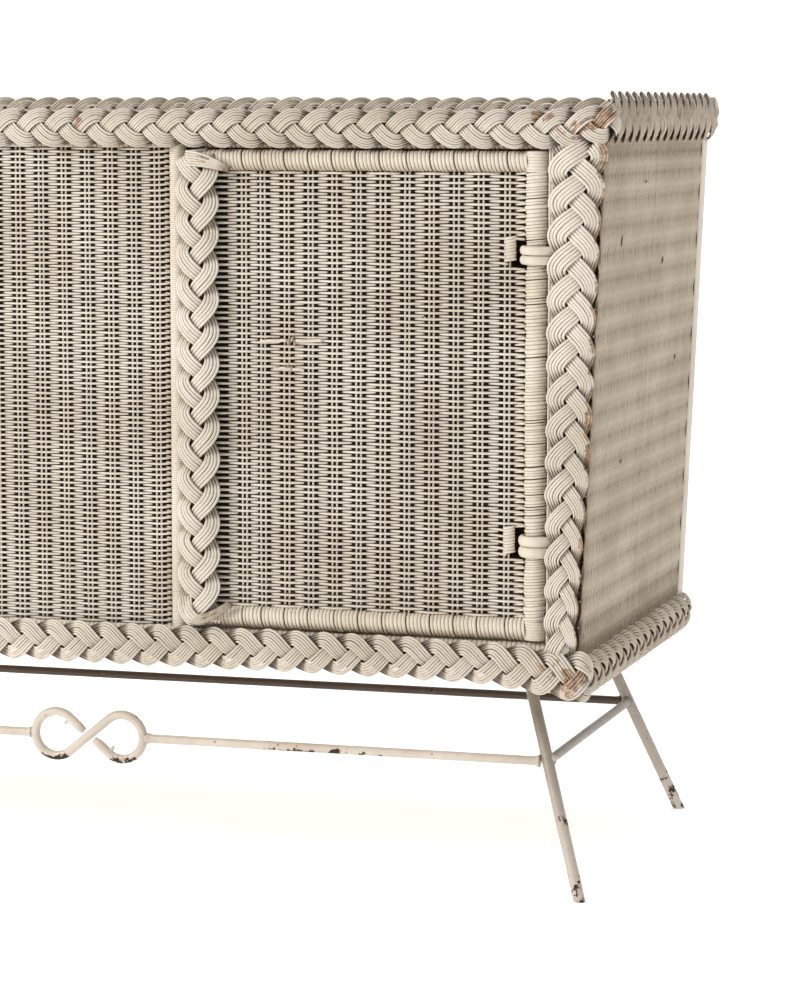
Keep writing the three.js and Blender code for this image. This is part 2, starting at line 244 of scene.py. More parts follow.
def wicker_paint(name, light, warm, grime_and_shade, worn=0.5, rough=0.5, black=1.0, blotch=0.0):
    """Old cream paint over reed: mottled, darkened in the crevices by dirt and by painted shade that goes near-black in
    the deepest, and rubbed through to brown reed in worn places. The hidden side is bare reed gone brown."""
    n = Nodes(name)
    rnd, deep, wear, inner = n.att("rnd"), n.att("deep"), n.att("wear"), n.att("inner")
    cloud = n.noise(9.0, 4.0, 0.6)
    fine = n.noise(170.0, 3.0, 0.6)
    speck = n.noise(520.0, 2.0, 0.5)
    base = n.mix(n.ramp(cloud, 0.3, 0.72), light, warm)
    base = n.mix(n.math("MULTIPLY", rnd, 0.45), base, warm)
    base = n.mix(n.ramp(fine, 0.5, 0.85, 0.0, 0.4), base, tuple(c * 0.84 for c in warm))
    line = n.math("MULTIPLY", n.ramp(speck, 0.66, 0.72), n.ramp(fine, 0.5, 0.62))
    base = n.mix(n.math("MULTIPLY", line, 0.5), base, srgb(128, 100, 72))
    # crevices and hollows take the grime colour by their depth: dirt and painted shade together
    dirt_and_shade = n.math("MULTIPLY", n.ramp(deep, 0.04, 0.55), n.ramp(fine, 0.1, 0.75, 0.62, 1.0))
    base = n.mix(n.math("MULTIPLY", dirt_and_shade, 0.9), base, grime_and_shade)
    if blotch:
        patchy = n.noise(95.0, 5.0, 0.7, stretch=(1.0, 1.0, 0.45), offset=(5, 2, 7))
        base = n.mix(n.ramp(patchy, 0.46, 0.68, 0.0, blotch), base, grime_and_shade)
    rub = n.math("ADD", n.math("MULTIPLY", wear, 0.31), n.math("MULTIPLY", n.math("SUBTRACT", rnd, 0.5), 0.2))
    rub = n.math("ADD", rub, n.math("MULTIPLY", fine, 0.2))
    rub = n.math("ADD", rub, n.math("MULTIPLY", n.noise(70.0, 4.0, 0.65, offset=(3, 1, 2)), 0.5))
    gone = n.math("MULTIPLY", n.ramp(rub, 0.616, 0.656), worn)
    base = n.mix(gone, base, n.mix(n.ramp(fine, 0.35, 0.65), srgb(186, 140, 98), srgb(100, 68, 43)))
    # the deepest places go near-black: painted shade
    base = n.mix(n.math("MULTIPLY", n.ramp(deep, 0.42, 0.86), black), base, srgb(26, 18, 11))
    base = n.mix(inner, base, n.mix(rnd, srgb(88, 64, 44), srgb(60, 42, 28)))
    n.t.links.new(base, n.p.inputs["Base Color"])
    n.t.links.new(n.ramp(fine, 0.2, 0.8, rough - 0.1, rough + 0.16), n.p.inputs["Roughness"])
    n.p.inputs["Specular IOR Level"].default_value = 0.36
    h = n.math("ADD", n.math("MULTIPLY", fine, 0.7), n.math("MULTIPLY", speck, 0.3))
    h = n.math("SUBTRACT", h, n.math("MULTIPLY", gone, 0.35))
    n.bump(h, 0.35, 0.0006)
    return n.m


CREAM, WARM, GRIME_AND_SHADE = srgb(225, 216, 204), srgb(202, 191, 175), srgb(122, 104, 83)
WEAVE = wicker_paint("weave_paint", srgb(224, 215, 202), srgb(201, 189, 172), srgb(80, 63, 45), 0.35, 0.52)
SIDE = wicker_paint("side_weave_paint", srgb(205, 192, 174), srgb(182, 167, 147), srgb(120, 100, 76), 0.25, 0.6, 0.75)
BRAID = wicker_paint("braid_paint", CREAM, WARM, GRIME_AND_SHADE, 0.75, 0.48)
FRONT = wicker_paint("front_braid_paint", srgb(216, 206, 193), srgb(194, 182, 165), srgb(108, 90, 70), 0.75, 0.5)
# a darker copy of the braid paint for the braids along the tops of the sides: painted shade
SIDE_BRAID_SHADED = wicker_paint("side_braid_paint", srgb(200, 186, 168), srgb(172, 157, 138), srgb(84, 66, 48), 0.6, 0.56, 1.0, 0.6)
LOW = wicker_paint("low_braid_paint", srgb(206, 195, 178), srgb(182, 168, 148), srgb(100, 80, 58), 0.6, 0.54, 1.0, 0.25)
WRAP = wicker_paint("pole_wrap", srgb(222, 213, 199), srgb(203, 191, 171), srgb(134, 110, 80), 0.35, 0.5, 0.75)


def iron_paint():
    """Cream enamel on iron rod, chipped to black iron in patches, with a brown rim round each chip."""
    n = Nodes("iron_paint")
    wear, deep = n.att("wear"), n.att("deep")
    cloud = n.noise(14.0, 4.0, 0.6)
    big = n.noise(64.0, 5.0, 0.66)
    fine = n.noise(230.0, 4.0, 0.6)
    base = n.mix(n.ramp(cloud, 0.3, 0.75), srgb(212, 201, 189), srgb(190, 178, 164))
    base = n.mix(n.ramp(fine, 0.55, 0.8, 0.0, 0.35), base, srgb(174, 157, 138))
    # where deep is set the enamel turns dark brown: painted shade under the cabinet, with rust on the legs
    base = n.mix(n.math("MULTIPLY", deep, n.ramp(fine, 0.2, 0.8, 0.8, 1.0)), base, n.mix(cloud, srgb(86, 70, 56), srgb(50, 39, 31)))
    m = n.math("ADD", n.math("MULTIPLY", big, 0.72), n.math("MULTIPLY", fine, 0.28))
    m = n.math("ADD", m, n.math("MULTIPLY", wear, 0.16))
    rim = n.ramp(m, 0.655, 0.69)
    chip = n.ramp(m, 0.685, 0.70)
    base = n.mix(n.math("MULTIPLY", rim, 0.6), base, srgb(150, 118, 84))
    base = n.mix(chip, base, n.mix(n.ramp(fine, 0.3, 0.7), srgb(22, 17, 14), srgb(44, 32, 24)))
    n.t.links.new(base, n.p.inputs["Base Color"])
    r = n.math("ADD", n.ramp(fine, 0.2, 0.8, 0.3, 0.46), n.math("MULTIPLY", chip, 0.35))
    n.t.links.new(r, n.p.inputs["Roughness"])
    n.p.inputs["Specular IOR Level"].default_value = 0.5
    h = n.math("SUBTRACT", n.math("MULTIPLY", cloud, 0.4), n.math("MULTIPLY", chip, 0.8))
    n.bump(n.math("ADD", h, n.math("MULTIPLY", fine, 0.25)), 0.6, 0.0005)
    return n.m


def board_paint():
    n = Nodes("floor_board")
    grain = n.noise(26.0, 5.0, 0.6, stretch=(0.12, 1.6, 1.0))
    fine = n.noise(240.0, 3.0, 0.6, stretch=(0.1, 1, 1))
    base = n.mix(n.ramp(grain, 0.3, 0.7), srgb(206, 193, 170), srgb(176, 158, 130))
    base = n.mix(n.ramp(fine, 0.5, 0.8, 0.0, 0.5), base, srgb(138, 116, 88))
    base = n.mix(n.math("MULTIPLY", n.att("deep"), 0.8), base, srgb(60, 44, 30))
    n.t.links.new(base, n.p.inputs["Base Color"])
    n.t.links.new(n.ramp(grain, 0.2, 0.8, 0.5, 0.75), n.p.inputs["Roughness"])
    n.bump(n.math("ADD", grain, n.math("MULTIPLY", fine, 0.4)), 0.5, 0.0006)
    return n.m


IRON = iron_paint()
BOARD = board_paint()


# ------------------------------------------------------------------ weaving
def weave(geo, at, normal, u0, u1, v0, v1, stakes, gap, rs, rw, pitch, amp, per=7, k=6, flat=1.0, squeeze=None,
          end_of=None, sway=0.22, pull=0.0, power=1.5, wear=0.0, stake_over=3.0, deep_gain=1.0, bulge=0.0, hidden_side=True, crisp=False, stake_w=0.0, shade=None):
    """Plain weave. at(u, v, w) gives the place of a point of the panel, w being out of it.
    stakes: u of each stake (or middle of each pair, gap apart). Each row is one weaver, over one stake and under the next."""
    stakes = np.asarray(stakes, float)
    step = np.diff(stakes).mean() if len(stakes) > 1 else u1 - u0
    ext = np.concatenate([[stakes[0] - 3 * step, stakes[0] - 2 * step, stakes[0] - step], stakes,
                          [stakes[-1] + step, stakes[-1] + 2 * step, stakes[-1] + 3 * step]])
    idx = np.arange(len(ext)) - 3.0
    cut = np.array([0, 0.2, 0.27, 0.355, 0.645, 0.73, 0.8]) if crisp else np.arange(per) / per
    knots = np.interp((np.arange(-2, len(stakes) + 2)[:, None] + cut[None]).ravel(), idx, ext)
    u = knots[(knots > u0) & (knots < u1)]
    u = np.concatenate([[u0], u[(u > u0 + 0.8) & (u < u1 - 0.8)], [u1]])
    phase = np.interp(u, ext, idx)
    rows = int(round((v1 - v0) / pitch))
    pitch = (v1 - v0) / rows
    full = amp + rw
    for i in range(rows):
        lo, hi = (u0, u1) if end_of is None else end_of(v0 + (i + 0.5) * pitch)
        keep = (u >= lo - 1e-6) & (u <= hi + 1e-6)
        uu, ph = u[keep], phase[keep]
        if hi < u1 - 1e-6:
            uu, ph = np.append(uu[uu < hi - 1], hi), np.append(ph[uu < hi - 1], np.interp(hi, ext, idx))
        c = np.cos(np.pi * ph + np.pi * i)
        w = amp * np.sign(c) * np.abs(c) ** power * (1 + RNG.normal() * 0.05)
        if bulge:
            w = w - bulge * np.cos(2 * np.pi * ph)
        vv = v0 + (i + 0.5) * pitch + smooth_noise(len(uu), 2.2 * per, RNG, sway * 0.5) + RNG.normal() * sway * 0.25
        if pull:
            edge = np.clip(1 - (hi - uu) / 12.0, 0, 1) + np.clip(1 - (uu - lo) / 12.0, 0, 1)
            vv = vv + (pull * pitch * edge) * (1 if i % 2 == 0 else -1)
        if squeeze is not None:
            vv = vv + squeeze(uu, vv)
        P = at(uu, vv, w)
        r = rw * (1 + RNG.normal() * 0.035)
        h = w[:, None] + r * np.cos(2 * np.pi * (np.arange(k) + 0.5) / k)[None]
        back = np.clip((-0.30 * full - h) / (0.35 * full), 0, 1)
        if hidden_side:
            back = np.where(np.cos(2 * np.pi * (np.arange(k) + 0.5) / k)[None] < -0.2, 1.0, back * 0)
        # deep is painted shade: weavers turn near-black where they pass behind the stakes and darken along their sides;
        # in the other weaves the lower parts darken, with bands at the stakes
        if crisp:
            d = np.clip((-0.40 * amp - w) / (0.17 * amp), 0, 1)[:, None] + 0.16 * np.clip(0.7 - np.cos(2 * np.pi * (np.arange(k) + 0.5) / k), 0, 1)[None]
            d = np.clip(d, 0, 1) * (1 - back)
        else:
            d = np.clip(deep_gain * (0.70 * rw - h) / (0.5 * full) + (0.14 * bulge * (0.5 + 0.5 * np.cos(2 * np.pi * ph)) ** 1.4)[:, None], 0, 1) * (1 - back)
        geo.tubes(P, normal, r, r * flat, k=k, deep=lambda V, d=d: np.clip(d[None] + (0 if shade is None else shade(V) * (1 - back[None])), 0, 1), wear=wear, taper=True, inner=lambda V, b=back: b[None])
    offs = [0.0] if gap <= 0 else [-gap / 2, gap / 2]
    for s in stakes:
        for o in offs:
            n = 9
            v = np.linspace(v0 - stake_over, v1 + stake_over, n)
            uu = s + o + smooth_noise(n, 3, RNG, 0.22)
            # stakes darken along their sides: painted shade
            geo.tubes(at(uu, v, np.full(n, stake_w)), normal, rs, k=6, wear=wear, rnd=RNG.random() * 0.5,
                      deep=np.clip(0.45 - np.cos(2 * np.pi * (np.arange(6) + 0.5) / 6), 0, 0.75)[None, None],
                      inner=(np.cos(2 * np.pi * (np.arange(6) + 0.5) / 6) < -0.2)[None, None] * 1.0)


# ------------------------------------------------------------------ plaits
def plait(geo, P, T, U, N, W, L, reeds=6, d=3.7, B=3.0, sign=1, phase=0.0, curl=None, k=7, wear=0.0, crown=0.5, dark=1.0, shift=0.0, dirt_and_shade=0.0, core=0.62, upper_shade=0.0):
    """A flat plait of three strands along the points P. U is across it, N out of it. W is its width and L the pitch of the
    loops on one edge; both may change along it."""
    n = len(P)
    ds = np.linalg.norm(np.gradient(P, axis=0), axis=1)
    W, L = np.broadcast_to(W, (n,)).astype(float), np.broadcast_to(L, (n,)).astype(float)
    theta = np.concatenate([[0], np.cumsum((2 * np.pi / (3 * L) * ds)[:-1])]) + phase
    dth = 2 * np.pi / (3 * L)
    dd = np.broadcast_to(d, (n,)).astype(float)
    half = dd * reeds / 2
    A = np.maximum(W / 2 - half, 2.0)
    top = abs(B) + dd.max() / 2
    if core:
        flat = core * A
        sink = 2.4 if not curl else 2.4 + float((flat**2).max()) / (2 * curl)
        # the core strip's front is painted dark: painted shade in the middle of the plait
        face = np.where(np.cos(2 * np.pi * (np.arange(6) + 0.5) / 6) > -0.1, 1.0, 0.2)
        geo.tubes(P[::3] - N[::3] * sink, N[::3], 0.7, flat[::3], k=6, deep=face[None, None], rnd=0.5)
    for s in range(3):
        th = theta + 2 * np.pi * s / 3
        uc = A * np.sin(th)
        slope = A * np.cos(th) * dth
        q = np.sin(2 * th)
        wc = sign * B * np.tanh(1.5 * q) / np.tanh(1.5)
        nrm = np.sqrt(1 + slope**2)
        base = RNG.random()
        for j in range(reeds):
            o = (j - (reeds - 1) / 2) * dd * 0.985
            wob = smooth_noise(n, 12, RNG, 0.2)
            ps = -slope / nrm * o
            pu = uc + o / nrm + wob
            pw = wc - crown * (2 * (j - (reeds - 1) / 2) / max(reeds - 1, 1)) ** 2 * 0.9 + smooth_noise(n, 18, RNG, 0.14)
            if shift:
                pu = pu + shift * np.cos(np.pi * np.clip(pu / W, -0.5, 0.5))
            if curl:
                R = curl
                ang = pu / R
                pu2, pw2 = (R + pw) * np.sin(ang), (R + pw) * np.cos(ang) - R
            else:
                pu2, pw2 = pu, pw
            X = P + T * ps[:, None] + U * pu2[:, None] + N * pw2[:, None]
            r = dd / 2 * (1.0 + RNG.normal() * 0.03)
            a = 2 * np.pi * (np.arange(k) + 0.5) / k
            # deep is painted shade: the reeds lying lower in the plait and the sides of each reed darken, and one more
            # term darkens towards the upper edge
            height = pw[:, None] + r[:, None] * np.cos(a)[None]
            height = height * np.where(np.cos(a) < -0.1, -1.0, 1.0)[None]
            deep = np.clip(dark * ((0.05 * top - height) / (1.05 * top) + 0.24 * np.clip(0.62 - np.abs(np.cos(a)), 0, 1)[None]) + dirt_and_shade
                           + upper_shade * np.clip(pu / A, 0, 1)[:, None], 0, 1)[None]
            geo.tubes(X, N, r, k=k, rnd=np.clip(base * 0.4 + RNG.random() * 0.6, 0, 1), deep=lambda V, deep=deep: deep,
                      wear=wear, taper=True)


def line_path(a, b, step):
    a, b = np.array(a, float), np.array(b, float)
    n = max(int(np.linalg.norm(b - a) / step), 2) + 1
    P = a + (b - a) * np.linspace(0, 1, n)[:, None]
    T = np.broadcast_to(unit(b - a), P.shape)
    return P, T


def corner_path(pts, radius, step):
    """A line through pts with rounded corners, in a level plane."""
    pts = [np.array(p, float) for p in pts]
    out = [pts[0]]
    for i in range(1, len(pts) - 1):
        a, b, c = pts[i - 1], pts[i], pts[i + 1]
        d1, d2 = unit(b - a), unit(c - b)
        p0, p2 = b - d1 * radius, b + d2 * radius
        for t in np.linspace(0, 1, 9):
            out.append((1 - t) ** 2 * p0 + 2 * t * (1 - t) * b + t**2 * p2)
    out.append(pts[-1])
    out = np.array(out)
    s = np.concatenate([[0], np.cumsum(np.linalg.norm(np.diff(out, axis=0), axis=1))])
    n = int(s[-1] / step) + 1
    x = np.linspace(0, s[-1], n)
    P = np.stack([np.interp(x, s, out[:, i]) for i in range(3)], 1)
    T = unit(np.gradient(P, axis=0))
    return P, T


def spots(*places):
    """Where wear gathers: (x, y, z, reach, amount), in millimetres."""
    def f(V):
        w = np.zeros(V.shape[:-1])
        for x, y, z, reach, amount in places:
            d2 = ((V - np.array([x, y, z])) ** 2).sum(-1)
            w = w + amount * np.exp(-d2 / (reach * reach))
        return np.clip(w, 0, 1)
    return f


# ------------------------------------------------------------------ wound poles
def wound(geo, a, b, R, pitch, ties=(), up=(0, -1, 0), k=20, groove=0.85, jitter=0.1, narrow=(), wear=0.0, rough=1.0, wide=1.0, dirt_and_shade=0.0, inner=0.0, underside_shade=0.0):
    """A pole wound with cane, each turn a rounded ridge. ties are distances along it where the winding opens for a stake."""
    a, b = np.array(a, float), np.array(b, float)
    length = np.linalg.norm(b - a)
    edges = [0.0]
    while edges[-1] < length - 0.6 * pitch:
        edges.append(edges[-1] + pitch * (1 + RNG.normal() * jitter * 0.5))
    edges = np.array(edges) * length / edges[-1]
    s, r, dp = [], [], []
    ties = np.asarray(list(ties), float)
    for e0, e1 in zip(edges[:-1], edges[1:]):
        h = RNG.normal() * 0.16 * rough
        near = len(ties) and np.abs(ties - e0).min() < pitch * 0.5
        g = groove * (3.0 if near else 1.0)
        # dp is painted shade: darker in the groove between turns, more so where the winding opens for a stake
        for f, drop in ((0.0, g), (0.14, groove * (1.5 if near else 0.34)), (0.38, 0.03), (0.66, 0.03), (0.88, groove * 0.34)):
            s.append(e0 + f * (e1 - e0))
            r.append(R - drop + (h if f > 0 else 0.0))
            dp.append((1.25 if near else 0.62) if f == 0 else (0.9 if near and f < 0.2 else 0.22 * drop / groove))
    s.append(length)
    r.append(R - groove)
    dp.append(1.0)
    s, r, dp = np.array(s), np.array(r), np.array(dp)
    for where, reach, depth in narrow:
        r = r - depth * np.clip(1.6 - np.abs(s - where) / reach, 0, 1)
    P = a + (b - a) / length * s[:, None]
    dp = np.clip(dp + dirt_and_shade, 0, 1)
    tint = np.interp(s, np.linspace(0, length, 40), RNG.random(40) * 0.7)
    # the underside term darkens the pole's underside: painted shade
    geo.tubes(P, up, r, r * wide, k=k, wear=wear, skew=pitch * 0.32, rnd=float(RNG.random() * 0.5), inner=inner,
              deep=lambda V: np.clip(dp[:, None] + underside_shade * np.clip(-(V[0, ..., 2] - P[:, None, 2]) / R, 0, 1), 0, 1)[None])
    geo.att["rnd"][-1] = np.repeat(tint, k).astype(np.float32)


# ------------------------------------------------------------------ rods
def rod(geo, a, b, r, k=18, up=(0, 0, 1), level=False, weld=(0, 0), wear=0.0, step=5.0, dirt_and_shade=0.0):
    """An iron rod, a little uneven. level cuts both ends flat; weld swells an end where it is joined."""
    a, b = np.array(a, float), np.array(b, float)
    length = np.linalg.norm(b - a)
    n = int(length / step) + 2
    s = np.linspace(0, length, n)
    if weld[0]:
        s = np.unique(np.concatenate([s, np.linspace(0, 9, 10)]))
    if weld[1]:
        s = np.unique(np.concatenate([s, length - np.linspace(0, 9, 10)]))
    n = len(s)
    d = (b - a) / length
    up = np.array(up, float)
    side = unit(np.cross(d, up))
    P = a + d * s[:, None]
    bow = smooth_noise(n, 14, RNG, 0.12)
    P = P + side * (bow * np.sin(np.pi * s / length))[:, None]
    rr = r * (1 + smooth_noise(n, 5, RNG, 0.012))
    for on, dist in ((weld[0], s), (weld[1], length - s)):
        if on:
            rr = rr + on * np.exp(-((dist / 3.4) ** 2))
    geo.tubes(P, side, rr, k=k, wear=wear, rnd=0.3, deep=dirt_and_shade)
    if level:
        V = geo.v[-1].reshape(n, k, 3)
        for e, z in ((0, a[2]), (-1, b[2])):
            V[e] += (d * ((z - V[e][:, 2:3]) / d[2])).astype(np.float32)
        geo.v[-1] = V.reshape(-1, 3)


def blob(geo, c, r, squash=(1, 1, 1), wear=0.0, lump=0.12, rings=9, k=12):
    """A small weld bead or rivet head."""
    c = np.array(c, float)
    t = np.linspace(0.12, np.pi - 0.12, rings)
    P = c + np.array([0, 0, 1]) * (-np.cos(t)[:, None] * r)
    rr = r * np.sin(t) * (1 + RNG.normal(size=rings) * lump * 0.4)
    geo.tubes(P, (1, 0, 0), rr, k=k, wear=wear, rnd=0.3)
    V = geo.v[-1]
    geo.v[-1] = ((V - c) * np.array(squash) + c).astype(np.float32)


SIDES = (("right", 1), ("left", -1))


def mx(x, y, z, s):
    return (s * x, y, z)


# ================================================================== the iron stand
def make_stand():
    foot_wear = lambda V: np.clip(0.95 * np.exp(-((V[..., 2] - 0) / 30.0) ** 2) + 0.4 * np.exp(-((V[..., 2] - 55) / 50.0) ** 2) + 0.2, 0, 1)
    for side, s in SIDES:
        for name, sy in (("front", -1), ("rear", 1)):
            g = Geo()
            k = 222.4 / 129.0
            top = (s * (544.8 - 46.8 * k), sy * (239.0 - 54.0 * k), 222.4)
            foot = (s * 544.8, sy * 239.0, 0.0)
            # the leg darkens towards the top: painted shade under the cabinet, with rust
            rod(g, foot, top, 6.0, k=22, level=True, wear=foot_wear,
                dirt_and_shade=lambda V: np.clip((V[..., 2] - 10) / 150.0, 0.12, 1) * 0.6)
            if name == "front":
                blob(g, (s * 501.5, -STRETCH_Y + 3, STRETCH_Z + 3.0), 4.6, (1.2, 1.1, 0.9), wear=0.7)
            g.build(f"vis_leg_{name}_{side}", IRON, "iron_paint", "cabinet", f"leg_{name}_{side}")
        g = Geo()
        x = s * (544.8 - 46.8 * 222.4 / 129.0)
        # a flat bar with rounded edges, and two screws up into the floor
        n = 60
        P = np.stack([np.full(n, x), np.linspace(-172, 172, n), np.full(n, 225.3)], 1)
        g.tubes(P, (0, 0, 1), 2.5 * 1.16, 13.0 * 1.02, k=16, wear=0.5, turn=0.5, rnd=0.3)
        V = g.v[-1]
        V[:, 2] = np.clip(V[:, 2], 222.9, 227.7)
        V[:, 0] = x + np.clip(V[:, 0] - x, -12.6, 12.6)
        for y in (-110, 0, 110):
            blob(g, (x, y, 222.9), 4.2, (1, 1, 0.42), wear=0.2)
        g.build(f"vis_mount_bar_{side}", IRON, "iron_paint", "cabinet", f"mount_bar_{side}")
        g = Geo()
        x0, x1 = SCROLL_CX + SCROLL_R + ROD_R + 0.1, STRETCH_X - 8.2
        heavy = lambda V, s=s: np.clip((0.2 + 0.8 * np.exp(-((s * V[..., 0] - 255) / 105.0) ** 2)) * (0.85 + 0.12 * (STRETCH_Z - V[..., 2])), 0, 1.3)
        rod(g, mx(x0, -STRETCH_Y, STRETCH_Z, s), mx(x1, -STRETCH_Y, STRETCH_Z, s), ROD_R, weld=(1.2, 2.2), wear=heavy)
        g.build(f"vis_stretcher_front_{side}", IRON, "iron_paint", "cabinet", f"stretcher_front_{side}")
        g = Geo()
        # the side stretcher is darkened all over: painted shade
        rod(g, mx(STRETCH_X, -STRETCH_Y + 8.2, STRETCH_Z, s), mx(STRETCH_X, STRETCH_Y - 8.2, STRETCH_Z, s), ROD_R,
            weld=(2.2, 2.2), wear=0.3, dirt_and_shade=0.68)
        g.build(f"vis_stretcher_side_{side}", IRON, "iron_paint", "cabinet", f"stretcher_side_{side}")
    g = Geo()
    # the rear stretcher is darkened all over: painted shade under the cabinet
    rod(g, (-STRETCH_X + 8.2, STRETCH_Y, STRETCH_Z), (STRETCH_X - 8.2, STRETCH_Y, STRETCH_Z), ROD_R, weld=(2.2, 2.2), wear=0.4, dirt_and_shade=1.5)
    g.build("vis_stretcher_rear", IRON, "iron_paint", "cabinet", "stretcher_rear")
    # the S scroll
    g = Geo()
    tilt = math.asin(SCROLL_R / SCROLL_CX)
    tail = np.array([[5.8, -4.4], [10.6, -8.2], [15.8, -12.6]])
    a = np.linspace(math.radians(-134), math.pi / 2 + tilt, 54)
    arc = np.stack([SCROLL_CX + SCROLL_R * np.cos(a), SCROLL_R * np.sin(a)], 1)
    mid = np.array([arc[-1] * t for t in (0.8, 0.6, 0.4, 0.2)])
    half = np.concatenate([tail, arc, mid])
    path = np.concatenate([half, [[0, 0]], -half[::-1]])
    P = np.stack([path[:, 0], np.full(len(path), -STRETCH_Y), STRETCH_Z + path[:, 1]], 1)
    low = lambda V: np.clip(1.7 * np.exp(-((V[..., 2] - (STRETCH_Z - 28)) / 9.0) ** 2) + 0.1, 0, 1.6)
    rr = np.full(len(P), ROD_R * 1.01)
    rr[[0, -1]] *= 0.72
    rr[[1, -2]] *= 0.98
    g.tubes(P, (0, 1, 0), rr, k=18, wear=low, rnd=0.3)
    for s in (1, -1):
        g.tubes(np.array([[s * 22.8, -STRETCH_Y, STRETCH_Z - s * 17.5], [s * 24.8, -STRETCH_Y, STRETCH_Z - s * 14.6],
                          [s * 26.8, -STRETCH_Y, STRETCH_Z - s * 11.6], [s * 27.4, -STRETCH_Y, STRETCH_Z - s * 10.6]]),
                (0, 1, 0), np.array([2.4, 2.0, 1.8, 1.0]), k=10, wear=0.2, rnd=0.3)
        blob(g, (s * (SCROLL_CX + SCROLL_R + 3.6), -STRETCH_Y, STRETCH_Z), 4.4, (0.8, 1.0, 1.2), wear=0.5)
    g.build("vis_stretcher_scroll", IRON, "iron_paint", "cabinet", "stretcher_scroll")


# ================================================================== panels
def panel_flat(y, sign=1):
    """The place function of an upright panel in a plane across Y: u is X, v is Z and w is out towards -Y times sign."""
    return lambda u, v, w: np.stack([u + 0 * w, y - sign * w, v + 0 * w], -1)


CORNER_L, CORNER_PHASE = 31.75, 0.82
DOOR_STAKES = [193.9] + [213.9 + 25.19 * j for j in range(0, 10)] + [467.8]


# darkens the sides and back of each reed of the door bundles: painted shade
EDGE_SHADE = 0.6 * np.clip(0.75 - np.cos(2 * np.pi * (np.arange(8) + 0.5) / 8), 0, 1)


